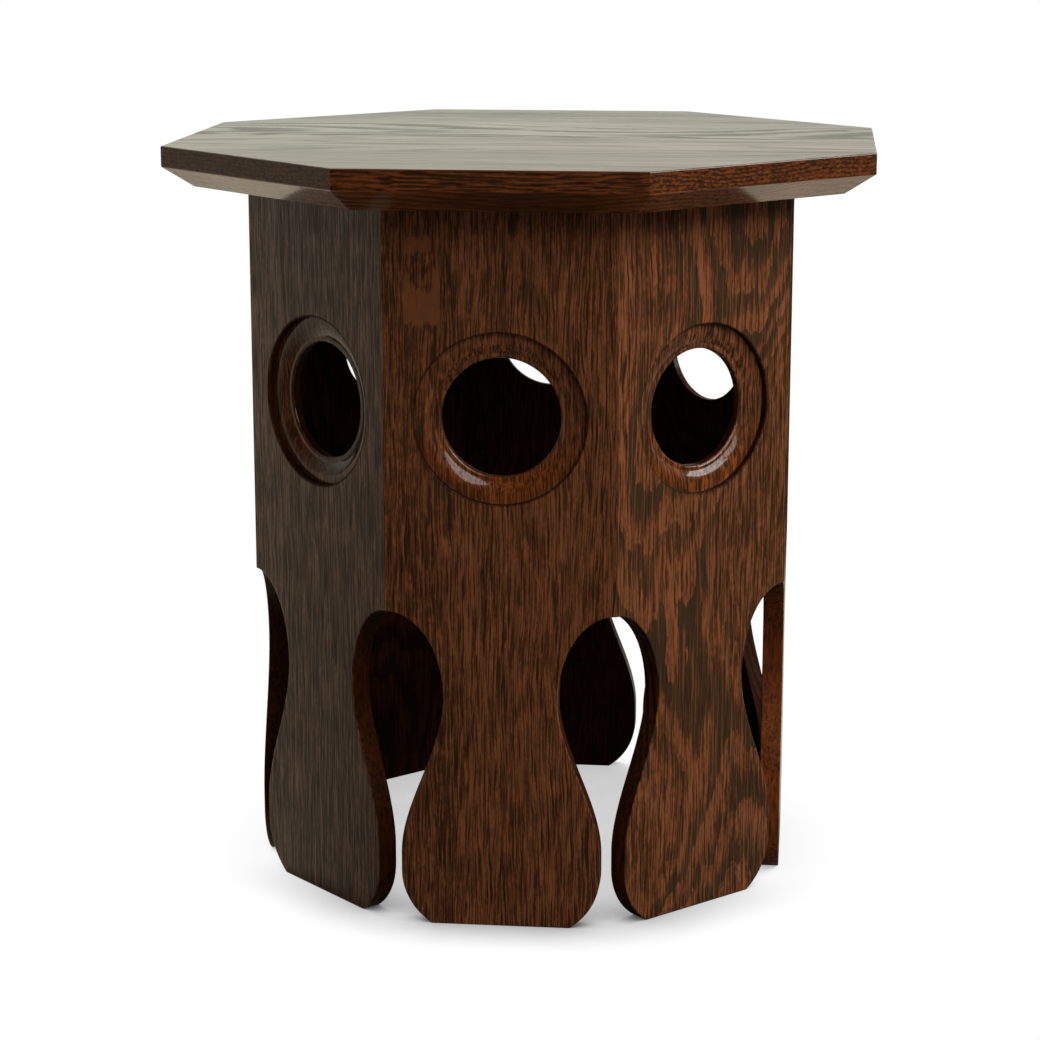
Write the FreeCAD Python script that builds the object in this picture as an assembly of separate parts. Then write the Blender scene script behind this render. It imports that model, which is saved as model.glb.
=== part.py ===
"""Octagonal oak tabouret: eight mitred boards that end in paddle legs, under an overhanging top.

Millimetres, +Z up. The origin is on the floor under the middle of the top, and side panel 1 faces -Y.
Panels, splines, blocks and cleats are each made once, facing -Y, and turned about Z to their places.
"""

import FreeCAD
import Part
import math
import os

from FreeCAD import Vector

# The octagon
SIDE_COUNT = 8
SIDE_TURN = 360.0 / SIDE_COUNT
HALF_TURN = math.radians(SIDE_TURN / 2)

# Overall sizes
total_height = 508.0
base_width = 365.0  # across the flats of the body, outside
top_width = 473.0  # across the flats of the top
board_thickness = 14.3

# Top: square edge band, bevel under it, two boards glued edge to edge
top_band_height = 13.8
top_bevel_height = 13.7
top_bevel_inset = 20.4
top_joint_y = -7.0
top_easing = 1.0
dowel_radius = 4.0
dowel_length = 56.0
dowel_count = 4
dowel_clear = 20.0  # from the inner face of a cleat to the nearest dowel's middle
dowel_end_gap = 0.8

# Leg outline, as half widths and heights above the floor
foot_flat_half = 45.9
foot_half = 66.2
foot_low = 36.6  # the foot is widest from here
foot_high = 49.0  # to here
waist_half = 37.7
waist_height = 156.5
arch_height = 214.8
edge_easing = 0.8

# Round window and the moulding sunk around it, as radii and depths from the face
window_below_top = 137.2  # from the underside of the top to the window's centre
window_radius = 38.8
window_lip = 1.8
rim_flat = 1.8
ring_depth = 8.1
ring_radius = 56.1
ring_step = 4.6
ring_land = 3.0

# Loose splines in the mitres
spline_thickness = 4.0
spline_width = 14.0
spline_inset = 4.4  # from the inner face to the spline's middle, on the mitre
spline_above_arch = 14.0
spline_top_gap = 2.0

# Glue blocks in the inside corners
block_leg = 28.0
block_height = 68.0

# Cleats that hold the top down, on every second panel
cleat_depth = 24.0
cleat_height = 24.0
cleat_end_gap = 4.0  # between a cleat and the corner blocks
cleat_step = 2  # one cleat for this many panels

# Countersunk slotted wood screws
screw_radius = 2.1
screw_head_radius = 4.2
screw_head_height = 2.6
screw_tip_length = 7.0
screw_slot_width = 1.2
screw_slot_depth = 1.2
screw_inset = 14.0  # from a cleat's end to its panel screw
panel_bite = 9.5  # how far a screw goes into a panel
top_bite = 16.0  # how far a screw goes into the top

# Clearances
glue_gap = 0.1  # all round a spline or a dowel
screw_gap = 0.4  # round a screw's shank in a cleat

# Sizes that follow from those above
top_thickness = top_band_height + top_bevel_height
panel_height = total_height - top_thickness
outer_apothem = base_width / 2
inner_apothem = outer_apothem - board_thickness
outer_half = outer_apothem * math.tan(HALF_TURN)
inner_half = inner_apothem * math.tan(HALF_TURN)
window_height = panel_height - window_below_top
cleat_length = 2 * (inner_half - block_leg - cleat_end_gap)
OVERCUT = 5.0  # how far cutting tools stand past the wood
X_AXIS = Vector(1, 0, 0)
Y_AXIS = Vector(0, 1, 0)
Z_AXIS = Vector(0, 0, 1)
ORIGIN = Vector(0, 0, 0)
CIRCLE_HANDLE = 4 / 3 * (math.sqrt(2) - 1)  # control arm of a Bezier quarter circle, per unit radius


def turned(shape, index):
    """A copy of a shape made for side 0, moved round to side index."""
    copy = shape.copy()
    copy.rotate(ORIGIN, Z_AXIS, index * SIDE_TURN)
    return copy


def prism(points, direction):
    """The solid swept by a polygon along a direction."""
    return Part.Face(Part.makePolygon(points + points[:1])).extrude(direction)


def line(start, end):
    return Part.LineSegment(start, end).toShape()


def bezier(*poles):
    curve = Part.BezierCurve()
    curve.setPoles(list(poles))
    return curve.toShape()


def easing(shape, radius, wanted):
    """Round the edges whose middle point the test wanted accepts."""
    edges = []
    for edge in shape.Edges:
        middle = edge.valueAt((edge.FirstParameter + edge.LastParameter) / 2)
        if wanted(edge, middle):
            edges.append(edge)
    return shape.makeFillet(radius, edges)


def single_solid(shape):
    return shape.removeSplitter().Solids[0]


# Side panels


def leg_edges(side):
    """Edges of one half of the leg's outline, from the foot up; side is 1 on the right, -1 on the left."""

    def at(x, z):
        return Vector(side * x, -outer_apothem, z)

    rise = foot_low
    spread = foot_half - foot_flat_half
    radius = (rise**2 + spread**2) / (2 * spread)
    half_angle = math.asin(rise / radius) / 2
    foot_middle = at(foot_half - radius * (1 - math.cos(half_angle)), rise - radius * math.sin(half_angle))
    ankle_arm = (waist_height - foot_high) / 3
    arch_x_arm = CIRCLE_HANDLE * (outer_half - waist_half)
    arch_z_arm = CIRCLE_HANDLE * (arch_height - waist_height)
    beyond = outer_half + OVERCUT
    return [
        Part.Arc(at(foot_flat_half, 0), foot_middle, at(foot_half, foot_low)).toShape(),
        line(at(foot_half, foot_low), at(foot_half, foot_high)),
        bezier(
            at(foot_half, foot_high),
            at(foot_half, foot_high + ankle_arm),
            at(waist_half, waist_height - ankle_arm),
            at(waist_half, waist_height),
        ),
        bezier(
            at(waist_half, waist_height),
            at(waist_half, waist_height + arch_z_arm),
            at(outer_half - arch_x_arm, arch_height),
            at(outer_half, arch_height),
        ),
        line(at(outer_half, arch_height), at(beyond, arch_height)),
        line(at(beyond, arch_height), at(beyond, panel_height)),
        line(at(beyond, panel_height), at(0, panel_height)),
    ]


def leg_prism():
    """The leg's outline, cut square through the board."""
    edges = leg_edges(1) + leg_edges(-1)
    edges.append(line(Vector(-foot_flat_half, -outer_apothem, 0), Vector(foot_flat_half, -outer_apothem, 0)))
    outline = Part.Wire(Part.__sortEdges__(edges))
    return Part.Face(outline).extrude(Y_AXIS * board_thickness)


def mitred_board():
    """A full-height board whose long edges lie on the planes between neighbours."""
    plan = [
        Vector(-outer_half, -outer_apothem, 0),
        Vector(outer_half, -outer_apothem, 0),
        Vector(inner_half, -inner_apothem, 0),
        Vector(-inner_half, -inner_apothem, 0),
    ]
    return prism(plan, Z_AXIS * panel_height)


def window_cutter():
    """The window and its moulding as one turned tool: step, land, ovolo, flat rim and rounded lip."""

    def at(radius, depth):
        return Vector(radius, depth - outer_apothem, window_height)

    lip_start = window_radius + window_lip
    rim_radius = lip_start + rim_flat
    land_radius = ring_radius - ring_land
    run = land_radius - rim_radius
    drop = ring_depth - ring_step
    ovolo_radius = (run**2 + drop**2) / (2 * drop)
    ovolo_half = math.asin(run / ovolo_radius) / 2
    ovolo_middle = at(
        land_radius - ovolo_radius * math.sin(ovolo_half),
        ring_step + ovolo_radius * (1 - math.cos(ovolo_half)),
    )
    lip_bow = window_lip * (1 - math.cos(math.pi / 4))
    lip_middle = at(window_radius + lip_bow, ring_depth + lip_bow)
    through = board_thickness + OVERCUT
    profile = Part.Wire(
        [
            line(at(0, -OVERCUT), at(ring_radius, -OVERCUT)),
            line(at(ring_radius, -OVERCUT), at(ring_radius, ring_step)),
            line(at(ring_radius, ring_step), at(land_radius, ring_step)),
            Part.Arc(at(land_radius, ring_step), ovolo_middle, at(rim_radius, ring_depth)).toShape(),
            line(at(rim_radius, ring_depth), at(lip_start, ring_depth)),
            Part.Arc(at(lip_start, ring_depth), lip_middle, at(window_radius, ring_depth + window_lip)).toShape(),
            line(at(window_radius, ring_depth + window_lip), at(window_radius, through)),
            line(at(window_radius, through), at(0, through)),
            line(at(0, through), at(0, -OVERCUT)),
        ]
    )
    return Part.Face(profile).revolve(at(0, 0), Y_AXIS, 360)


def arris(edge, middle):
    """True for the edges of a panel's two faces that are cut free: leg, arch, foot and window."""
    if middle.z > panel_height - edge_easing:
        return False
    for apothem in (outer_apothem, inner_apothem):
        on_face = all(abs(vertex.Y + apothem) < 1e-4 for vertex in edge.Vertexes) and abs(middle.y + apothem) < 1e-4
        on_mitre = abs(abs(middle.x) - apothem * math.tan(HALF_TURN)) < 1e-4
        if on_face and not on_mitre:
            return True
    return False


def side_panel():
    panel = mitred_board().common(leg_prism()).cut(window_cutter())
    return easing(single_solid(panel), edge_easing, arris)


# Mitre splines, for the corner on the right of side 0


def spline_strip(gap, bottom, top):
    """A strip across the mitre plane, grown by a gap all round its section."""
    middle_radius = (inner_apothem + spline_inset) / math.cos(HALF_TURN)
    along = Vector(math.sin(HALF_TURN), -math.cos(HALF_TURN), 0)
    across = Vector(math.cos(HALF_TURN), math.sin(HALF_TURN), 0)
    centre = along * middle_radius
    half_thick = along * (spline_thickness / 2 + gap)
    half_wide = across * (spline_width / 2 + gap)
    section = [
        centre - half_thick - half_wide,
        centre + half_thick - half_wide,
        centre + half_thick + half_wide,
        centre - half_thick + half_wide,
    ]
    lift = Z_AXIS * bottom
    return prism([point + lift for point in section], Z_AXIS * (top - bottom))


def mitre_spline():
    return spline_strip(0, arch_height + spline_above_arch, panel_height - spline_top_gap)


def spline_groove():
    """The groove for a spline, stopped above the arch and open at the top of the board."""
    return spline_strip(glue_gap, arch_height + spline_above_arch, panel_height + OVERCUT)


# Corner blocks, for the corner on the right of side 0


def corner_block():
    corner = Vector(inner_half, -inner_apothem, panel_height - block_height)
    turn = math.radians(SIDE_TURN)
    along_next = Vector(math.cos(turn), math.sin(turn), 0)
    section = [corner, corner - X_AXIS * block_leg, corner + along_next * block_leg]
    return prism(section, Z_AXIS * block_height)


# Screws, made with the head's face at the origin and the point along +Z


def screw_blank(length):
    """A screw with no slot, which is also the shape of the hole that it makes."""
    half_section = [
        ORIGIN,
        Vector(screw_head_radius, 0, 0),
        Vector(screw_radius, 0, screw_head_height),
        Vector(screw_radius, 0, length - screw_tip_length),
        Vector(0, 0, length),
    ]
    return Part.Face(Part.makePolygon(half_section + [ORIGIN])).revolve(ORIGIN, Z_AXIS, 360)


def slotted(blank):
    reach = 2 * screw_head_radius
    corner = Vector(-reach / 2, -screw_slot_width / 2, -OVERCUT)
    slot = Part.makeBox(reach, screw_slot_width, OVERCUT + screw_slot_depth, corner)
    return single_solid(blank.cut(slot))


def shank_hole():
    reach = cleat_depth + cleat_height
    return Part.makeCylinder(screw_radius + screw_gap, reach, ORIGIN, Z_AXIS)


def panel_screw_places():
    """Where the two screws of a cleat enter it on their way into the panel, for side 0."""
    reach = cleat_length / 2 - screw_inset
    y = cleat_depth - inner_apothem
    z = panel_height - cleat_height / 2
    return [Vector(-reach, y, z), Vector(reach, y, z)]


def into_panel(shape, place):
    copy = shape.copy()
    copy.rotate(ORIGIN, X_AXIS, 90)
    copy.translate(place)
    return copy


def into_top(shape):
    copy = shape.copy()
    copy.translate(Vector(0, cleat_depth / 2 - inner_apothem, panel_height - cleat_height))
    return copy


# Cleats


def top_cleat(panel_screw, top_screw):
    corner = Vector(-cleat_length / 2, -inner_apothem, panel_height - cleat_height)
    cleat = Part.makeBox(cleat_length, cleat_depth, cleat_height, corner)
    for place in panel_screw_places():
        cleat = cleat.cut(into_panel(panel_screw, place)).cut(into_panel(shank_hole(), place))
    cleat = cleat.cut(into_top(top_screw)).cut(into_top(shank_hole()))
    return single_solid(cleat)


# Top


def octagon(across_flats, z):
    corner_radius = across_flats / 2 / math.cos(HALF_TURN)
    points = []
    for index in range(SIDE_COUNT):
        angle = HALF_TURN + index * 2 * HALF_TURN
        points.append(Vector(corner_radius * math.cos(angle), corner_radius * math.sin(angle), z))
    return Part.makePolygon(points + points[:1])


def whole_top():
    """The top before it is parted into boards."""
    band_bottom = total_height - top_band_height
    band = Part.Face(octagon(top_width, band_bottom)).extrude(Z_AXIS * top_band_height)
    lower = octagon(top_width - 2 * top_bevel_inset, panel_height)
    bevel = Part.makeLoft([lower, octagon(top_width, band_bottom)], True, True)
    top = single_solid(band.fuse(bevel))

    def rim(edge, middle):
        level = edge.Vertexes[0].Z - edge.Vertexes[1].Z
        return abs(level) < 1e-4 and middle.z > band_bottom - 1e-4

    return easing(top, top_easing, rim)


def dowel_set(gap, length):
    """Dowels across the glue line of the top, evenly spaced about its middle."""
    z = panel_height + top_thickness / 2
    outermost = inner_apothem - cleat_depth - dowel_clear
    spacing = 2 * outermost / (dowel_count - 1)
    dowels = []
    for index in range(dowel_count):
        x = index * spacing - outermost
        start = Vector(x, top_joint_y - length / 2, z)
        dowels.append(Part.makeCylinder(dowel_radius + gap, length, start, Y_AXIS))
    return Part.makeCompound(dowels)


def top_boards(top):
    """The front and back boards, bored for their dowels."""
    bored = top.cut(dowel_set(glue_gap, dowel_length + 2 * dowel_end_gap))
    boards = []
    for low_y in (top_joint_y - top_width, top_joint_y):
        corner = Vector(-top_width, low_y, panel_height - OVERCUT)
        half = Part.makeBox(2 * top_width, top_width, top_thickness + 2 * OVERCUT, corner)
        boards.append(single_solid(bored.common(half)))
    return boards


# Assembly


def export(name, shape):
    if not shape.isValid():
        raise ValueError(name + " is not a valid solid")
    shape.exportStep("parts/" + name + ".step")
    print(name, "solids", len(shape.Solids), "volume", round(shape.Volume, 1))


def main():
    os.makedirs("parts", exist_ok=True)
    panel_blank = screw_blank(cleat_depth + panel_bite)
    top_blank = screw_blank(cleat_height + top_bite)
    cleated = range(0, SIDE_COUNT, cleat_step)

    plain_panel = side_panel().cut(spline_groove()).cut(turned(spline_groove(), -1))
    drilled_panel = plain_panel
    for place in panel_screw_places():
        drilled_panel = drilled_panel.cut(into_panel(panel_blank, place))
    for index in range(SIDE_COUNT):
        number = str(index + 1)
        panel = drilled_panel if index in cleated else plain_panel
        export("side_panel_" + number, turned(single_solid(panel), index))
        export("mitre_spline_" + number, turned(mitre_spline(), index))
        export("corner_block_" + number, turned(corner_block(), index))

    cleat = top_cleat(panel_blank, top_blank)
    panel_screws = []
    top_screws = []
    top = whole_top()
    for index in cleated:
        export("top_cleat_" + str(index // cleat_step + 1), turned(cleat, index))
        for place in panel_screw_places():
            panel_screws.append(turned(into_panel(slotted(panel_blank), place), index))
        top_screws.append(turned(into_top(slotted(top_blank)), index))
        top = top.cut(turned(into_top(top_blank), index))
    export("cleat_panel_screws", Part.makeCompound(panel_screws))
    export("cleat_top_screws", Part.makeCompound(top_screws))

    front_board, back_board = top_boards(top)
    export("top_board_front", front_board)
    export("top_board_back", back_board)
    export("top_dowels", dowel_set(0, dowel_length))


main()
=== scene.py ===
"""Looks of the octagonal oak tabouret: oak and steel on its solids, a pale floor, soft light and a camera.

Metres, +Z up, side panel 1 faces -Y. Wood is drawn in board millimetres: across the face, through the board
and along the grain.
"""

import bpy
import math

from collections import namedtuple
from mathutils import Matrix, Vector

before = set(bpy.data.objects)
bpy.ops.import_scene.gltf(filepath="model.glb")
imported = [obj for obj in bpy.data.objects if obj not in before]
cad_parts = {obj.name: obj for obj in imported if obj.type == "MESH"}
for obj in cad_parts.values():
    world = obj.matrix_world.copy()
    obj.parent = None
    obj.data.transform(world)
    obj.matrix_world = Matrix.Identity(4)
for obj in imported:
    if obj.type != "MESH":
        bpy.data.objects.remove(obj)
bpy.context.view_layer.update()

SIDE_COUNT = 8
SIDE_TURN = 2 * math.pi / SIDE_COUNT
CLEAT_STEP = 2  # from one panel with a cleat to the next
MILLIMETRES = 1000.0  # in a metre
WHITE = (1, 1, 1, 1)

# Camera, which looks at a point near the axis
CAMERA_AZIMUTH = math.radians(6.15)
CAMERA_ELEVATION = math.radians(12.89)
CAMERA_DISTANCE = 1.956
AIM_HEIGHT = 0.2363
AIM_SIDE = -0.0065  # of that point from the axis, to the right in the picture
SENSOR_WIDTH = 36.0
LENS = 95.0

# Lamps, with angles in degrees. A lamp's level is how bright a white surface that faces it renders
Lamp = namedtuple("Lamp", "azimuth elevation distance width height level mirrored")
LAMPS = {
    "key": Lamp(80, 35, 2.0, 1.3, 0.9, 0.85, True),
    "front": Lamp(32, 34, 2.4, 1.9, 1.1, 0.55, True),
    "fill": Lamp(25, 10, 2.4, 1.0, 0.5, 0.12, False),
    "back": Lamp(205, 34, 2.4, 1.4, 1.0, 0.75, False),
}
AMBIENT_LEVEL = 0.06

# What reflections find in the room: a pale backdrop and floor behind the object, and the dark before it
BACKDROP_SHINE = (0.715, 0.733, 0.637)
FLOOR_SHINE = (1.03, 0.88, 0.67)
DARK_SHINE = (0.015, 0.015, 0.015)
WHITE_SIDE = math.radians(15)  # from +Y towards -X, where reflections are palest
SHINE_SPAN = (-0.35, 0.7)  # cosine of the angle to that side, from the dark to the palest
SHINE_FALL = 1.6  # how fast reflections darken in between

# Floor
FLOOR_HALF = 12.0
FLOOR_BOUNCE = 0.25
OCCLUSION_SAMPLES = 16
CONTACT_REACH = 0.045
CONTACT_DEPTH = 1.15
CONTACT_BEHIND = 0.12  # that depth beside and behind the object
CONTACT_SPAN = (-0.2, -0.05)  # in y, from the one depth to the other
UNDER_REACH = 0.65
UNDER_LEVEL = 0.58
UNDER_SPAN = (0.12, 0.42)  # in openness, from under the object to the open floor

# Reflections of the floor
FLOOR_SHIFT = 0.16  # they turn about a point this far before the axis
# In reflections the floor under the object is painted dark: a painted shadow
FEET_SPAN = (0.17, 0.21)  # from the axis, between the floor under the object and the open floor
FEET_PAINTED_SHADOW = 0.05
AWAY_SPAN = (0.3, 2.5)  # from the axis, with the levels at both ends
AWAY_LEVELS = (0.95, 1.3)
BEHIND_SPAN = (0.6, 1.0)  # behind the axis, where they end
BEHIND_SLANT = 0.1  # how much nearer that is for each metre to the right


class Graph:
    """Adds nodes to a tree. Any input takes a number, a tuple or another node's output."""

    def __init__(self, tree):
        self.tree = tree

    def feed(self, socket, value):
        if isinstance(value, bpy.types.NodeSocket):
            self.tree.links.new(value, socket)
        else:
            socket.default_value = value

    def add(self, kind, inputs=(), **settings):
        node = self.tree.nodes.new(kind)
        for name, value in settings.items():
            setattr(node, name, value)
        for key, value in dict(inputs).items():
            self.feed(node.inputs[key], value)
        return node

    def math(self, operation, *values):
        return self.add("ShaderNodeMath", enumerate(values), operation=operation).outputs[0]

    def total(self, *values):
        first, *others = values
        for other in others:
            first = self.math("ADD", first, other)
        return first

    def product(self, *values):
        first, *others = values
        for other in others:
            first = self.math("MULTIPLY", first, other)
        return first

    def rest(self, value):
        """What is left of 1."""
        return self.math("SUBTRACT", 1.0, value)

    def swing(self, noise, size):
        """A noise as a swing about zero."""
        return self.product(self.math("SUBTRACT", noise, 0.5), size)

    def swings(self, noises, sizes):
        """The sum of several noises as swings about zero."""
        return self.total(*(self.swing(noise, size) for noise, size in zip(noises, sizes)))

    def vector(self, operation, *values, output="Vector"):
        return self.add("ShaderNodeVectorMath", enumerate(values), operation=operation).outputs[output]

    def dot(self, first, second):
        return self.vector("DOT_PRODUCT", first, second, output="Value")

    def length(self, vector):
        return self.vector("LENGTH", vector, output="Value")

    def scaled(self, vector, size):
        return self.add("ShaderNodeVectorMath", {0: vector, "Scale": size}, operation="SCALE").outputs[0]

    def join(self, x, y, z):
        return self.add("ShaderNodeCombineXYZ", {0: x, 1: y, 2: z}).outputs[0]

    def split(self, vector):
        return self.add("ShaderNodeSeparateXYZ", {0: vector}).outputs

    def ramp(self, value, low, high, low_out=0.0, high_out=1.0):
        """A smooth step from low_out at low to high_out at high."""
        inputs = {"Value": value, "From Min": low, "From Max": high, "To Min": low_out, "To Max": high_out}
        return self.add("ShaderNodeMapRange", inputs, interpolation_type="SMOOTHSTEP").outputs[0]

    def fall(self, value, low, high):
        """A smooth step from 1 at low to 0 at high."""
        return self.ramp(value, low, high, 1.0, 0.0)

    def mix(self, factor, first, second):
        """The colour first, or second where factor is 1."""
        inputs = {0: factor, 6: first, 7: second}
        return self.add("ShaderNodeMix", inputs, data_type="RGBA", clamp_factor=True).outputs[2]

    def blend(self, factor, first, second):
        """The number first, or second where factor is 1."""
        return self.add("ShaderNodeMix", {0: factor, 2: first, 3: second}, clamp_factor=True).outputs[0]

    def tinted(self, color, factor, tint):
        """A colour, multiplied by tint where factor is 1."""
        return self.vector("MULTIPLY", color, self.mix(factor, WHITE, (*tint, 1)))

    def streaks(self, point, across, along, detail, output="Fac"):
        """Noise drawn out along the grain; across and along are the size of a streak in millimetres."""
        scaled = self.vector("MULTIPLY", point, (1 / across, 1 / across, 1 / along))
        noise = self.add("ShaderNodeTexNoise", {"Vector": scaled, "Scale": 1.0, "Detail": detail})
        return noise.outputs[output]

    def patch(self, point, left, right, low, high, soft_across, soft_along):
        """1 inside a rectangle of a board's face and 0 outside it, with soft edges."""
        x, y, z = self.split(point)
        return self.product(
            self.ramp(x, left - soft_across, left + soft_across),
            self.fall(x, right - soft_across, right + soft_across),
            self.ramp(z, low - soft_along, low + soft_along),
            self.fall(z, high - soft_along, high + soft_along),
        )


# Oak

OAK_INPUTS = {
    "Point": "NodeSocketVector",
    "Seed": "NodeSocketFloat",
    "Pith": "NodeSocketVector",
    "Swell": "NodeSocketFloat",
    "Sway": "NodeSocketFloat",
    "Ring": "NodeSocketFloat",
    "Figure": "NodeSocketFloat",
    "Shade": "NodeSocketFloat",
    "Length": "NodeSocketFloat",
    "Blotch": "NodeSocketFloat",
    "Fine": "NodeSocketFloat",
    "Plain": "NodeSocketFloat",
    "Zone": "NodeSocketFloat",
    "Fleck": "NodeSocketFloat",
}
OAK_OUTPUTS = {
    "Color": "NodeSocketColor",
    "Roughness": "NodeSocketFloat",
    "Height": "NodeSocketFloat",
    "Gloss": "NodeSocketFloat",
}
OAK_TONES = [
    # from the palest fibres to the darkest earlywood
    (0.00, (0.157, 0.0510, 0.0185, 1)),
    (0.25, (0.109, 0.0350, 0.0120, 1)),
    (0.50, (0.073, 0.0230, 0.0074, 1)),
    (0.75, (0.046, 0.0156, 0.0049, 1)),
    (1.00, (0.028, 0.0108, 0.0034, 1)),
]
OLIVE = (0.030, 0.0180, 0.0080, 1)  # of broad earlywood
PORE = (0.0130, 0.0055, 0.0020, 1)
THREAD = (0.115, 0.0400, 0.0150, 1)  # of pale fibres that run through the dark

# Noises: millimetres across and along the grain, and how much finer detail
WANDER = (45.0, 120.0, 3.0)
RIPPLE = (6.0, 10.0, 1.0)
COMB = (2.4, 60.0, 1.0)
HAIR = (0.9, 26.0, 1.0)
DASH = (1.0, 15.0, 0.0)
FIBRE = (0.8, 45.0, 0.0)
CHIP = (1.2, 2.5, 0.0)
FLAKE = (3.5, 5.0, 1.0)
BLOTCH_WIDTH = 8.0
MOTTLE = (BLOTCH_WIDTH, BLOTCH_WIDTH, 2.0)
LAYER_SCALE = (0.03, 1.1, 0.02)  # of thin layers in the board, per millimetre
THROUGH = 0.6  # width of streaks across a face, as a share of their width through the board
SEED_STEP = (131.0, 77.0, 533.0)  # between the streaks of two seeds
BLOTCH_STEP = (211.0, 97.0, 313.0)  # and between their blotches
ASIDE = (12.0, 1.5)  # millimetres by which the wander and the ripple move streaks sideways

# Growth rings. A ring's phase goes from 0 at its start to 1 at its end
SWELL_LENGTH = 700.0  # of one wave of the pith towards a board's face, along the board
SWAY_LENGTH = 400.0  # and of one wave of it sideways
PITH_BEND = (22.0, 22.0, 0.0)  # millimetres by which the wander bends rings
RING_JAG = (0.2, 0.1, 0.45)  # by comb, dash and mottle, in widths of a ring
EARLY_RISE = (0.0, 0.1)
EARLY_FALL = (0.15, 0.7)
EARLY_REST = 0.3
LATE_RISE = (0.5, 0.7)
LATE_FALL = (0.85, 1.0)
FAINTEST_YEAR = 0.65
CROWDED_SPAN = (40.0, 80.0)  # millimetres beside the pith, where rings crowd on the face
CROWDED_FIGURE = 0.2

# Rays, smooth and pale over the lines
RAY_JAG = (0.9, 0.5)  # by comb and dash
RAY_EDGE = (0.42, 0.58)
RAY_COVER = 0.7
RAY_SHADE = 0.15
LATE_CALM = 0.35  # how smooth latewood is
CALM_GRAIN = 0.4  # how much grain a smooth place keeps

# Lines along the grain: where in its noise each one starts, and how much it darkens the wood
HAIR_EDGE = (0.4, 0.6)
HAIR_SHADE = 0.6
VESSEL_EDGE = (0.54, 0.68)
VESSEL_SHADE = 0.4
EARLY_VESSELS = 0.05  # how much wider vessels are in earlywood
FIBRE_EDGE = (0.58, 0.68)
FIBRE_SHADE = -0.25
GRAIN_SWINGS = (0.5, 0.4, 0.55, 0.45)  # of comb, layer, chip and flake

# Broad shades
ZONE_JAG = (1.5, 3.0)  # by comb and flake
EARLY_BASE = 0.4  # how early wood is that is neither dark nor pale
LATE_SHADE = -0.25
PATCH_SWING = 0.8
PLAIN_PATCHES = 0.3  # how much of the patches plain wood keeps
FIGURE_HIDES = 0.5  # how much of them a strong figure hides
DRIFT_SWING = 2.5  # of slow changes in plain wood

# Colours over the tone: in which shades they come in, and how much they cover
SOAKED_SPAN = (0.3, 0.8)
SOAKED_COVER = 0.6
DAMP_JAG = 0.5  # by flake
DAMP_EDGE = (0.52, 0.7)
DAMP_SPAN = (0.35, 0.8)
DAMP_COVER = 0.55
PORE_EDGE = (0.62, 0.72)
PORE_COVER = 0.5
THREAD_COVER = 0.5

# Surface
ROUGHNESS = 0.45
VESSEL_ROUGHNESS = 0.2  # more than that in vessels
FIBRE_HEIGHT = 0.5  # of pale fibres, as a share of a vessel's depth
GLOSS_SPAN = (0.0, 1.1)  # in shades, with the gloss at both ends
GLOSS_LEVELS = (1.0, 0.4)
BUMP_STRENGTH = 0.2
BUMP_DEPTH = 0.0001
SPECULAR_LEVEL = 0.05
COAT_ROUGHNESS = 0.1

Noises = namedtuple("Noises", "wander comb hair dash fibre chip flake mottle layer")


def oak_noises(g, given):
    """The noises of one board, which its seed sets apart from those of others."""
    point = given["Point"]
    short = g.math("DIVIDE", 1.0, given["Length"])
    stretched = g.vector("MULTIPLY", point, g.join(1.0, THROUGH, short))
    seeded = g.vector("ADD", stretched, g.scaled(SEED_STEP, given["Seed"]))
    wander = g.streaks(seeded, *WANDER, "Color")
    aside = g.swings((g.split(wander)[0], g.streaks(seeded, *RIPPLE)), ASIDE)
    seeded = g.vector("ADD", seeded, g.join(aside, 0.0, 0.0))
    narrow = g.math("DIVIDE", 1.0, given["Fine"])
    lined = g.vector("MULTIPLY", seeded, g.join(narrow, narrow, 1.0))
    squat = g.math("DIVIDE", BLOTCH_WIDTH, given["Blotch"])
    blotches = g.vector("MULTIPLY", point, g.join(1.0, THROUGH, squat))
    blotches = g.vector("ADD", blotches, g.scaled(BLOTCH_STEP, given["Seed"]))
    layers = g.vector("MULTIPLY", point, LAYER_SCALE)
    return Noises(
        wander=wander,
        comb=g.streaks(seeded, *COMB),
        hair=g.streaks(lined, *HAIR),
        dash=g.streaks(lined, *DASH),
        fibre=g.streaks(lined, *FIBRE),
        chip=g.streaks(lined, *CHIP),
        flake=g.streaks(seeded, *FLAKE),
        mottle=g.streaks(blotches, *MOTTLE),
        layer=g.add("ShaderNodeTexNoise", {"Vector": layers, "Scale": 1.0}).outputs["Fac"],
    )


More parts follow.
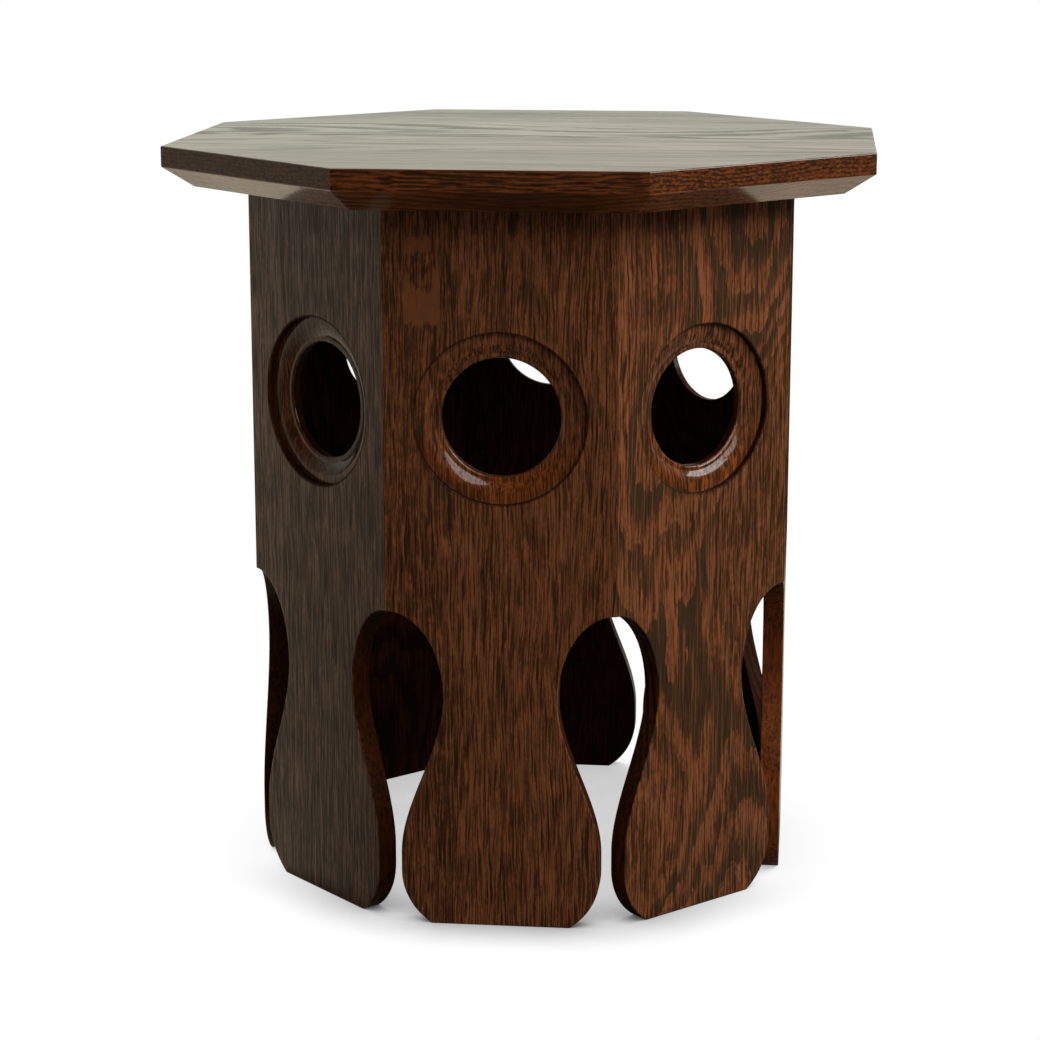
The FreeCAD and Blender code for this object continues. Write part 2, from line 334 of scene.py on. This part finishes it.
def growth_rings(g, given, noises):
    """Earlywood, latewood and how strongly both show, by the distance from a wavy pith."""
    bend = g.vector("MULTIPLY", g.vector("SUBTRACT", noises.wander, (0.5, 0.5, 0.5)), PITH_BEND)
    x, y, z = g.split(g.vector("SUBTRACT", g.vector("ADD", given["Point"], bend), given["Pith"]))
    sway = g.math("SINE", g.product(z, 2 * math.pi / SWAY_LENGTH))
    swell = g.math("COSINE", g.product(z, 2 * math.pi / SWELL_LENGTH))
    x = g.total(x, g.product(sway, given["Sway"]))
    y = g.total(y, g.product(swell, given["Swell"]))
    radius = g.math("SQRT", g.total(g.product(x, x), g.product(y, y)))
    jag = g.swings((noises.comb, noises.dash, noises.mottle), RING_JAG)
    ring = g.total(g.math("DIVIDE", radius, given["Ring"]), jag)
    phase = g.math("FRACT", ring)
    number = g.math("FLOOR", ring)
    year = g.add("ShaderNodeTexWhiteNoise", {"W": number}, noise_dimensions="1D").outputs["Value"]
    late = g.product(g.ramp(phase, *LATE_RISE), g.fall(phase, *LATE_FALL))
    early = g.product(
        g.ramp(phase, *EARLY_RISE),
        g.ramp(phase, *EARLY_FALL, 1.0, EARLY_REST),
        g.blend(year, FAINTEST_YEAR, 1.0),
    )
    crowded = g.ramp(g.math("ABSOLUTE", x), *CROWDED_SPAN)
    figure = g.product(given["Figure"], g.blend(crowded, 1.0, CROWDED_FIGURE))
    return early, late, figure


def oak_tone(g, shade):
    """The colour of a shade of oak."""
    tone = g.add("ShaderNodeValToRGB", {"Fac": shade})
    stops = tone.color_ramp.elements
    stops.remove(stops[1])
    for place, color in OAK_TONES:
        stop = stops.new(place) if place else stops[0]
        stop.position = place
        stop.color = color
    return tone.outputs["Color"]


def oak_group():
    """Solid oak: growth rings about a wavy pith, pores and fibres along the grain, rays and broad zones."""
    tree = bpy.data.node_groups.new("oak", "ShaderNodeTree")
    for sockets, in_out in ((OAK_INPUTS, "INPUT"), (OAK_OUTPUTS, "OUTPUT")):
        for name, kind in sockets.items():
            tree.interface.new_socket(name, in_out=in_out, socket_type=kind)
    g = Graph(tree)
    given = g.add("NodeGroupInput").outputs
    noises = oak_noises(g, given)
    wander, comb, hair, dash, fibre, chip, flake, mottle, layer = noises
    early, late, figure = growth_rings(g, given, noises)

    # Smooth places: rays, and latewood in part
    ray = g.ramp(g.total(given["Fleck"], g.swings((comb, dash), RAY_JAG)), *RAY_EDGE)
    calm = g.math("MAXIMUM", ray, g.product(late, figure, LATE_CALM))
    lively = g.rest(calm)
    rough = g.rest(given["Plain"])

    # Grain: lines and small flecks
    hairs = g.swing(g.ramp(hair, *HAIR_EDGE), HAIR_SHADE)
    vessel = g.ramp(g.total(dash, g.product(early, figure, EARLY_VESSELS)), *VESSEL_EDGE)
    light = g.ramp(fibre, *FIBRE_EDGE)
    lines = g.total(hairs, g.product(vessel, VESSEL_SHADE), g.product(light, FIBRE_SHADE))
    grain = g.total(lines, g.swings((comb, layer, chip, flake), GRAIN_SWINGS))
    grain = g.product(grain, g.blend(calm, 1.0, CALM_GRAIN), rough)

    # Broad shades: zones, rings, patches and slow changes
    zone = g.product(given["Zone"], g.total(1.0, g.swings((comb, flake), ZONE_JAG)))
    ringed = g.product(g.blend(late, g.math("SUBTRACT", early, EARLY_BASE), LATE_SHADE), figure)
    mottled = g.rest(g.product(given["Figure"], FIGURE_HIDES))
    kept = g.blend(given["Plain"], 1.0, PLAIN_PATCHES)
    patches = g.product(g.swing(mottle, PATCH_SWING), kept, mottled)
    drift = g.product(g.swing(g.split(wander)[1], DRIFT_SWING), given["Plain"])
    broad = g.total(given["Shade"], zone, ringed, patches, drift)

    # Colour
    shade = g.blend(g.product(ray, RAY_COVER), g.total(broad, grain), RAY_SHADE)
    soaked = g.product(early, figure, lively, g.ramp(shade, *SOAKED_SPAN), SOAKED_COVER)
    damp = g.ramp(g.total(mottle, g.swing(flake, DAMP_JAG)), *DAMP_EDGE)
    damp = g.product(damp, mottled, g.ramp(shade, *DAMP_SPAN), DAMP_COVER)
    color = g.mix(g.total(soaked, damp), oak_tone(g, shade), OLIVE)
    color = g.mix(g.product(g.ramp(dash, *PORE_EDGE), lively, PORE_COVER), color, PORE)
    color = g.mix(g.product(light, lively, rough, THREAD_COVER), color, THREAD)

    open_vessel = g.product(vessel, lively)
    relief = g.math("SUBTRACT", g.product(light, FIBRE_HEIGHT), open_vessel)
    made = {
        "Color": color,
        "Roughness": g.total(ROUGHNESS, g.product(open_vessel, VESSEL_ROUGHNESS)),
        "Height": g.product(relief, rough),
        "Gloss": g.ramp(g.total(broad, g.product(grain, rough)), *GLOSS_SPAN, *GLOSS_LEVELS),
    }
    leave = g.add("NodeGroupOutput")
    for name, value in made.items():
        g.feed(leave.inputs[name], value)
    return tree


# Boards and their finish

OAK = oak_group()
# Seed of the noises; the pith's place in millimetres, its waves towards the face and sideways; the width of a
# growth ring, and how strongly rings show; shade; how long streaks and blotches are, and how coarse lines
Board = namedtuple("Board", "seed pith swell sway ring figure shade length blotch fine")
SIDE_BOARDS = [
    Board(1.0, (-190, -60, 0), 2.0, 0.0, 2.6, 0.2, 0.39, 1.25, 14.0, 1.0),
    Board(2.0, (-5, -283, 155), 20.0, 35.0, 6.3, 1.1, 0.54, 1.35, 20.0, 1.3),
    Board(3.0, (-260, -40, 0), 2.0, 0.0, 2.4, 0.2, 0.42, 1.25, 16.0, 1.1),
    Board(4.0, (-10, -290, 90), 18.0, 25.0, 6.0, 1.1, 0.54, 1.35, 20.0, 1.3),
    Board(5.0, (210, -60, 0), 2.0, 0.0, 2.4, 0.25, 0.42, 1.25, 15.0, 1.1),
    Board(6.0, (12, -270, 260), 20.0, -30.0, 6.2, 1.1, 0.54, 1.35, 20.0, 1.3),
    Board(7.0, (-220, -60, 0), 2.0, 0.0, 2.4, 0.2, 0.42, 1.25, 18.0, 1.1),
    Board(8.0, (240, -40, 0), 1.0, 0.0, 2.6, 0.2, 0.72, 1.6, 24.0, 1.2),
]
TOP_BOARDS = {
    "front": Board(11.0, (-60, 900, 0), 3.0, 5.0, 3.2, 0.8, 0.45, 4.0, 80.0, 1.0),
    "back": Board(12.0, (30, 400, 0), 10.0, 15.0, 7.0, 1.1, 0.5, 3.0, 60.0, 1.0),
}
DOWEL_BOARD = Board(13.0, (0, -60, 0), 0.0, 0.0, 2.6, 0.3, 0.4, 1.0, 20.0, 1.0)
INNER_SEED = 20  # added to a side board's seed for the pieces behind it

# Left and right, low and high edge on a board's face, then how much darker it is there. Most are wood; on
# panel 2 the dark zones along the top are partly painted shade, and the pale strip at its left edge is a
# painted reflection
SIDE_ZONES_AND_PAINTED_LIGHT = {
    1: [
        (-80, -30, 0, 490, 0.18),
        (-40, 90, 395, 490, 0.08),
        (-57, -43, 429, 449, 0.3),
        (10, 40, 0, 250, -0.06),
    ],
    2: [
        # Along the top, two dark zones with a paler gap: partly wood, partly painted shade under the top
        (-56, -12, 405, 476, 0.22),
        (-10, 3, 395, 476, -0.1),
        (4, 30, 405, 462, 0.18),
        # Painted reflection: a pale strip at the left edge
        (-80, -60, 0, 490, -0.15),
    ],
    8: [(-80, -42, 180, 490, -0.2)],
}
TOP_ZONES = {
    "front": [(-20, -5, -300, 300, -0.2)],
    "back": [(-9, 4, -300, 300, 0.22), (150, 240, -300, 300, 0.04)],
}
# Left and right, low and high edge on a board's face, then how clear the ray is there
SIDE_FLECKS = {
    1: [
        (-61, -43, 450, 460, 1.0),
        (-61.5, -39, 404, 427, 1.0),
        (-61.5, -57, 427, 440, 0.7),
        (-43.5, -39, 427, 443, 0.7),
        (-22, -14, 404, 418, 0.5),
        (5, 11, 449, 461, 0.5),
    ],
}
ZONE_SOFT = (5.0, 12.0)  # millimetres of soft edge on each side, across and along the grain
FLECK_SOFT = (0.8, 8.0)

# The sunk ring round each window, in millimetres
WINDOW_HEIGHT = 343.3
RING_RADIUS = 56.6
RING_INSIDE = (RING_RADIUS - 3.0, RING_RADIUS - 1.0)
CREASE_SPAN = (0.3, 0.9)  # on each side of its outer edge
# Painted shade in the crease at the ring's outer edge: how much of the colour is left there
CREASE_SHADE = 0.5
CREASE_DULL = (0.5, 1.4)  # on each side of that edge, from no lacquer to all of it
RING_SHEEN = 0.9
RING_EVEN = 0.6  # how even its gloss is
RING_GLOSS = 0.9
RING_FIGURE = 0.3
# Painted warm glow in the lower half of the ring's cove, as of light bouncing there, and the heights over
# which it fades out
RING_PAINTED_GLOW = (1.05, 0.8, 0.4)
GLOW_SPAN = (WINDOW_HEIGHT - 45.0, WINDOW_HEIGHT)

# Finishes. Gloss is how much lacquer shows, plain how little grain, and even how even the gloss is on the
# face, the edges and the back. Edge grain is the scale of the wood on edges, with its streaks and blotches.
# The edge colour is stain and painted shade, the back colour painted shade inside the side panels and painted
# light under the top
Finish = namedtuple(
    "Finish",
    "gloss plain edge_tint edge_gloss edge_plain back_tint back_gloss back_plain edge_grain even ring",
    defaults=(None, None, False),
)
EdgeGrain = namedtuple("EdgeGrain", "scale length blotch")
EDGE_SPAN = (0.1, 0.5)  # cosine of the angle to the face's direction, from the edges to the face
BACK_SPAN = (-0.5, -0.1)  # and from the back to the edges
EVEN_GLOSS = 0.72
SIDE_FINISH = Finish(
    gloss=0.75,
    plain=0.0,
    # Side edges darker: stain that end grain takes deeper, and painted shade on reveals and the ring's step
    edge_tint=(0.38, 0.29, 0.18),
    edge_gloss=0.15,
    edge_plain=0.6,
    # Painted shade: the inside of the side panels darker
    back_tint=0.8,
    back_gloss=0.06,
    back_plain=0.2,
    ring=True,
)
SPECIAL_FINISHES = {
    2: SIDE_FINISH._replace(plain=-0.2),
    # Panel 3's edges lighter: painted light, a lit copy for its reveal
    3: SIDE_FINISH._replace(edge_tint=(0.8, 0.6, 0.35)),
}
TOP_FINISH = Finish(
    gloss=1.0,
    plain=0.35,
    edge_tint=(0.68, 0.55, 0.38),
    edge_gloss=0.55,
    edge_plain=0.05,
    # Painted light: the underside and bevels of the top lighter
    back_tint=1.75,
    back_gloss=1.0,
    back_plain=0.85,
    edge_grain=EdgeGrain((0.45, 1.1, 0.45), 0.5, 8.0),
)
TOP_EVEN = {"front": (0.45, 0.8, 0.85), "back": (0.15, 0.8, 0.85)}

# Turns that bring the grain of a piece to the board's third axis
ALONG_X = (-math.pi / 2, -math.pi / 2, 0)
ALONG_Y = (math.pi / 2, 0, 0)

# Steel of the screws
STEEL_BRIGHT = (0.20, 0.19, 0.18, 1)
STEEL_WORN = (0.07, 0.06, 0.05, 1)
STEEL_GRAIN = {"Scale": 900.0, "Detail": 3.0}
STEEL_SPAN = (0.3, 0.7)  # in that grain, with the roughness at both ends
STEEL_ROUGHNESS = (0.3, 0.55)


def direction(azimuth, elevation):
    """From the object towards a place seen at this azimuth, from -Y towards +X, and elevation."""
    flat = math.cos(elevation)
    return Vector((math.sin(azimuth) * flat, -math.cos(azimuth) * flat, math.sin(elevation)))


def surface(name):
    """A new material with its graph and its shader."""
    material = bpy.data.materials.new(name)
    material.use_nodes = True
    graph = Graph(material.node_tree)
    shader = next(node for node in material.node_tree.nodes if node.type == "BSDF_PRINCIPLED")
    return material, graph, shader


def marks(g, point, places, soft_across, soft_along):
    """The weights of marked places on a board's face."""
    weights = []
    for left, right, low, high, weight in places:
        soft = min(soft_across, (right - left) / 2)
        weights.append(g.product(g.patch(point, left, right, low, high, soft, soft_along), weight))
    return g.total(*weights)


def lacquered(g, wood, point, board, face, finish):
    """The colour and gloss of a board's face, edges and back, and of the ring round its window, with painted
    shade and light on edges, back and ring.
    """
    facing = g.dot(g.add("ShaderNodeNewGeometry").outputs["Normal"], face)
    edge = g.fall(facing, *EDGE_SPAN)
    back = g.fall(facing, *BACK_SPAN)

    def by_side(on_face, on_edge, on_back):
        return g.blend(back, g.blend(edge, on_face, on_edge), on_back)

    if finish.edge_grain:
        scale = g.mix(edge, WHITE, (*finish.edge_grain.scale, 1))
        g.feed(wood.inputs["Point"], g.vector("MULTIPLY", point, scale))
        g.feed(wood.inputs["Length"], g.blend(edge, board.length, finish.edge_grain.length))
        g.feed(wood.inputs["Blotch"], g.blend(edge, board.blotch, finish.edge_grain.blotch))
    g.feed(wood.inputs["Plain"], by_side(finish.plain, finish.edge_plain, finish.back_plain))
    # On edges, stain and painted shade
    color = g.tinted(wood.outputs["Color"], edge, finish.edge_tint)
    gloss = wood.outputs["Gloss"]
    sheen = g.blend(edge, finish.gloss, finish.edge_gloss)
    tint = 1.0
    if finish.ring:
        x, y, z = g.split(point)
        away = g.length(g.join(x, 0.0, g.math("SUBTRACT", z, WINDOW_HEIGHT)))
        crease = g.math("ABSOLUTE", g.math("SUBTRACT", away, RING_RADIUS))
        inside = g.fall(away, *RING_INSIDE)
        # Painted shade along the crease
        tint = g.ramp(crease, *CREASE_SPAN, CREASE_SHADE, 1.0)
        sheen = g.product(sheen, g.ramp(crease, *CREASE_DULL), g.blend(inside, 1.0, RING_SHEEN))
        gloss = g.blend(g.product(inside, RING_EVEN), gloss, RING_GLOSS)
        g.feed(wood.inputs["Figure"], g.blend(inside, board.figure, RING_FIGURE * board.figure))
        # Painted glow in the lower half of the ring
        color = g.tinted(color, g.product(inside, g.fall(z, *GLOW_SPAN)), RING_PAINTED_GLOW)
    # Scales the colour by the crease's painted shade on the face and by the finish's painted light on the
    # back
    color = g.scaled(color, g.blend(back, tint, finish.back_tint))
    if finish.even:
        gloss = g.blend(by_side(*finish.even), gloss, EVEN_GLOSS)
    return color, g.product(gloss, g.blend(back, sheen, finish.back_gloss))


def oak(name, turn, board, zones=(), flecks=(), face=None, finish=None):
    """Oak of one board, with lacquer over it. Zones, a few of them painted shade and a painted reflection,
    and flecks lie on its face.
    """
    material, g, shader = surface(name)
    place = g.add("ShaderNodeTexCoord").outputs["Object"]
    scale = (MILLIMETRES,) * 3
    point = g.add("ShaderNodeMapping", {"Vector": place, "Rotation": turn, "Scale": scale}).outputs[0]
    wood = g.add("ShaderNodeGroup", node_tree=OAK)
    g.feed(wood.inputs["Point"], point)
    for key, value in board._asdict().items():
        g.feed(wood.inputs[key.capitalize()], value)
    if zones:
        g.feed(wood.inputs["Zone"], marks(g, point, zones, *ZONE_SOFT))
    if flecks:
        g.feed(wood.inputs["Fleck"], marks(g, point, flecks, *FLECK_SOFT))
    color = wood.outputs["Color"]
    gloss = wood.outputs["Gloss"]
    if finish:
        color, gloss = lacquered(g, wood, point, board, face, finish)
    relief = {"Strength": BUMP_STRENGTH, "Distance": BUMP_DEPTH, "Height": wood.outputs["Height"]}
    g.feed(shader.inputs["Base Color"], color)
    g.feed(shader.inputs["Roughness"], wood.outputs["Roughness"])
    g.feed(shader.inputs["Coat Weight"], gloss)
    g.feed(shader.inputs["Normal"], g.add("ShaderNodeBump", relief).outputs["Normal"])
    shader.inputs["Specular IOR Level"].default_value = SPECULAR_LEVEL
    shader.inputs["Coat Roughness"].default_value = COAT_ROUGHNESS
    return material


def steel():
    """Worn steel."""
    material, g, shader = surface("screw_steel")
    place = g.add("ShaderNodeTexCoord").outputs["Object"]
    worn = g.add("ShaderNodeTexNoise", {"Vector": place, **STEEL_GRAIN}).outputs["Fac"]
    g.feed(shader.inputs["Base Color"], g.mix(worn, STEEL_BRIGHT, STEEL_WORN))
    g.feed(shader.inputs["Roughness"], g.ramp(worn, *STEEL_SPAN, *STEEL_ROUGHNESS))
    shader.inputs["Metallic"].default_value = 1.0
    return material


def dress(material, *nodes):
    """Makes this the one material of each of these solids."""
    for node in nodes:
        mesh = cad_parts[node].data
        mesh.materials.clear()
        mesh.materials.append(material)


def dress_object():
    for index, board in enumerate(SIDE_BOARDS):
        number = index + 1
        turn = (0, 0, -index * SIDE_TURN)
        face = direction(index * SIDE_TURN, 0)
        zones = SIDE_ZONES_AND_PAINTED_LIGHT.get(number, ())
        flecks = SIDE_FLECKS.get(number, ())
        finish = SPECIAL_FINISHES.get(number, SIDE_FINISH)
        dress(oak(f"side_oak_{number}", turn, board, zones, flecks, face, finish), f"side_panel_{number}")
        inner = oak(f"inner_oak_{number}", turn, board._replace(seed=board.seed + INNER_SEED))
        dress(inner, f"mitre_spline_{number}", f"corner_block_{number}")
        if index % CLEAT_STEP == 0:
            dress(inner, f"top_cleat_{index // CLEAT_STEP + 1}")
    for half, board in TOP_BOARDS.items():
        finish = TOP_FINISH._replace(even=TOP_EVEN[half])
        top = oak(f"top_oak_{half}", ALONG_X, board, TOP_ZONES[half], face=(0, 0, 1), finish=finish)
        dress(top, f"top_board_{half}")
    dress(oak("dowel_oak", ALONG_Y, DOWEL_BOARD), "top_dowels")
    dress(steel(), "cleat_panel_screws", "cleat_top_screws")


# Stage


def softbox(name, lamp):
    """A lamp that faces the object's middle, seen in reflections or not."""
    light = bpy.data.lights.new(name, "AREA")
    light.shape = "RECTANGLE"
    light.size = lamp.width
    light.size_y = lamp.height
    light.energy = lamp.level * (math.pi * lamp.distance) ** 2
    obj = bpy.data.objects.new(name, light)
    towards = direction(math.radians(lamp.azimuth), math.radians(lamp.elevation))
    obj.location = Vector((0, 0, AIM_HEIGHT)) + towards * lamp.distance
    obj.rotation_mode = "QUATERNION"
    obj.rotation_quaternion = towards.to_track_quat("Z", "Y")
    obj.visible_glossy = lamp.mirrored
    bpy.context.scene.collection.objects.link(obj)


def shine(g, place, palest):
    """What reflections find on the side where a place lies: pale behind the object and dark before it."""
    flat = g.vector("NORMALIZE", g.vector("MULTIPLY", place, (1, 1, 0)))
    behind = g.dot(flat, (-math.sin(WHITE_SIDE), math.cos(WHITE_SIDE), 0))
    dark, pale = SHINE_SPAN
    inputs = {"Value": behind, "From Min": dark, "From Max": pale}
    share = g.math("POWER", g.add("ShaderNodeMapRange", inputs, clamp=True).outputs[0], SHINE_FALL)
    return g.mix(share, (*DARK_SHINE, 1), (*palest, 1))


def studio_world():
    """White to the camera, dim as light, and in reflections pale behind the object and dark before it."""
    world = bpy.data.worlds.new("studio")
    world.use_nodes = True
    world.node_tree.nodes.clear()
    g = Graph(world.node_tree)
    ray = g.add("ShaderNodeLightPath").outputs
    level = g.math("MAXIMUM", AMBIENT_LEVEL, ray["Is Camera Ray"])
    plain = g.add("ShaderNodeBackground", {"Strength": level, "Color": WHITE}).outputs[0]
    mirrored = shine(g, g.add("ShaderNodeTexCoord").outputs["Generated"], BACKDROP_SHINE)
    glossy = g.add("ShaderNodeBackground", {"Color": mirrored}).outputs[0]
    both = g.add("ShaderNodeMixShader", {0: ray["Is Glossy Ray"], 1: plain, 2: glossy}).outputs[0]
    g.feed(g.add("ShaderNodeOutputWorld").inputs["Surface"], both)
    bpy.context.scene.world = world


def openness(g, reach):
    """How open a place is to what lies within reach."""
    inputs = {"Distance": reach}
    return g.add("ShaderNodeAmbientOcclusion", inputs, samples=OCCLUSION_SAMPLES).outputs["AO"]


def floor_white():
    """White with a soft shadow to the camera, dim as light, the room in reflections with a painted shadow
    under the object, and clear from below.
    """
    material = bpy.data.materials.new("floor_white")
    material.use_nodes = True
    material.node_tree.nodes.clear()
    g = Graph(material.node_tree)
    ray = g.add("ShaderNodeLightPath").outputs
    geometry = g.add("ShaderNodeNewGeometry").outputs
    place = geometry["Position"]
    x, y, z = g.split(place)
    lit = g.add("ShaderNodeBsdfDiffuse", {"Color": (FLOOR_BOUNCE, FLOOR_BOUNCE, FLOOR_BOUNCE, 1)}).outputs[0]
    depth = g.ramp(y, *CONTACT_SPAN, CONTACT_DEPTH, CONTACT_BEHIND)
    contact = g.math("POWER", openness(g, CONTACT_REACH), depth)
    under = g.ramp(openness(g, UNDER_REACH), *UNDER_SPAN, UNDER_LEVEL, 1.0)
    seen = g.add("ShaderNodeEmission", {"Strength": g.product(contact, under)}).outputs[0]
    away = g.length(place)
    open_floor = g.product(
        g.ramp(away, *FEET_SPAN, FEET_PAINTED_SHADOW, 1.0),
        g.ramp(away, *AWAY_SPAN, *AWAY_LEVELS),
        g.fall(g.total(y, g.product(x, BEHIND_SLANT)), *BEHIND_SPAN),
    )
    shifted = g.vector("ADD", place, (0, FLOOR_SHIFT, 0))
    mirrored = g.scaled(shine(g, shifted, FLOOR_SHINE), open_floor)
    glossy = g.add("ShaderNodeEmission", {"Color": mirrored}).outputs[0]
    plain = g.add("ShaderNodeMixShader", {0: ray["Is Camera Ray"], 1: lit, 2: seen}).outputs[0]
    upper = g.add("ShaderNodeMixShader", {0: ray["Is Glossy Ray"], 1: plain, 2: glossy}).outputs[0]
    clear = g.add("ShaderNodeBsdfTransparent").outputs[0]
    whole = g.add("ShaderNodeMixShader", {0: geometry["Backfacing"], 1: upper, 2: clear}).outputs[0]
    g.feed(g.add("ShaderNodeOutputMaterial").inputs["Surface"], whole)
    return material


def floor():
    mesh = bpy.data.meshes.new("floor")
    corners = [(x * FLOOR_HALF, y * FLOOR_HALF, 0) for x, y in ((-1, -1), (1, -1), (1, 1), (-1, 1))]
    mesh.from_pydata(corners, [], [(0, 1, 2, 3)])
    mesh.materials.append(floor_white())
    obj = bpy.data.objects.new("floor", mesh)
    bpy.context.scene.collection.objects.link(obj)


def camera():
    data = bpy.data.cameras.new("camera")
    data.sensor_width = SENSOR_WIDTH
    data.lens = LENS
    obj = bpy.data.objects.new("camera", data)
    back = direction(CAMERA_AZIMUTH, CAMERA_ELEVATION)
    right = Vector((math.cos(CAMERA_AZIMUTH), math.sin(CAMERA_AZIMUTH), 0))
    obj.location = Vector((0, 0, AIM_HEIGHT)) + right * AIM_SIDE + back * CAMERA_DISTANCE
    obj.rotation_mode = "QUATERNION"
    obj.rotation_quaternion = (-back).to_track_quat("-Z", "Y")
    bpy.context.scene.collection.objects.link(obj)
    bpy.context.scene.camera = obj


dress_object()
studio_world()
floor()
for name, lamp in LAMPS.items():
    softbox(name, lamp)
camera()
bpy.context.scene.view_settings.view_transform = "Standard"
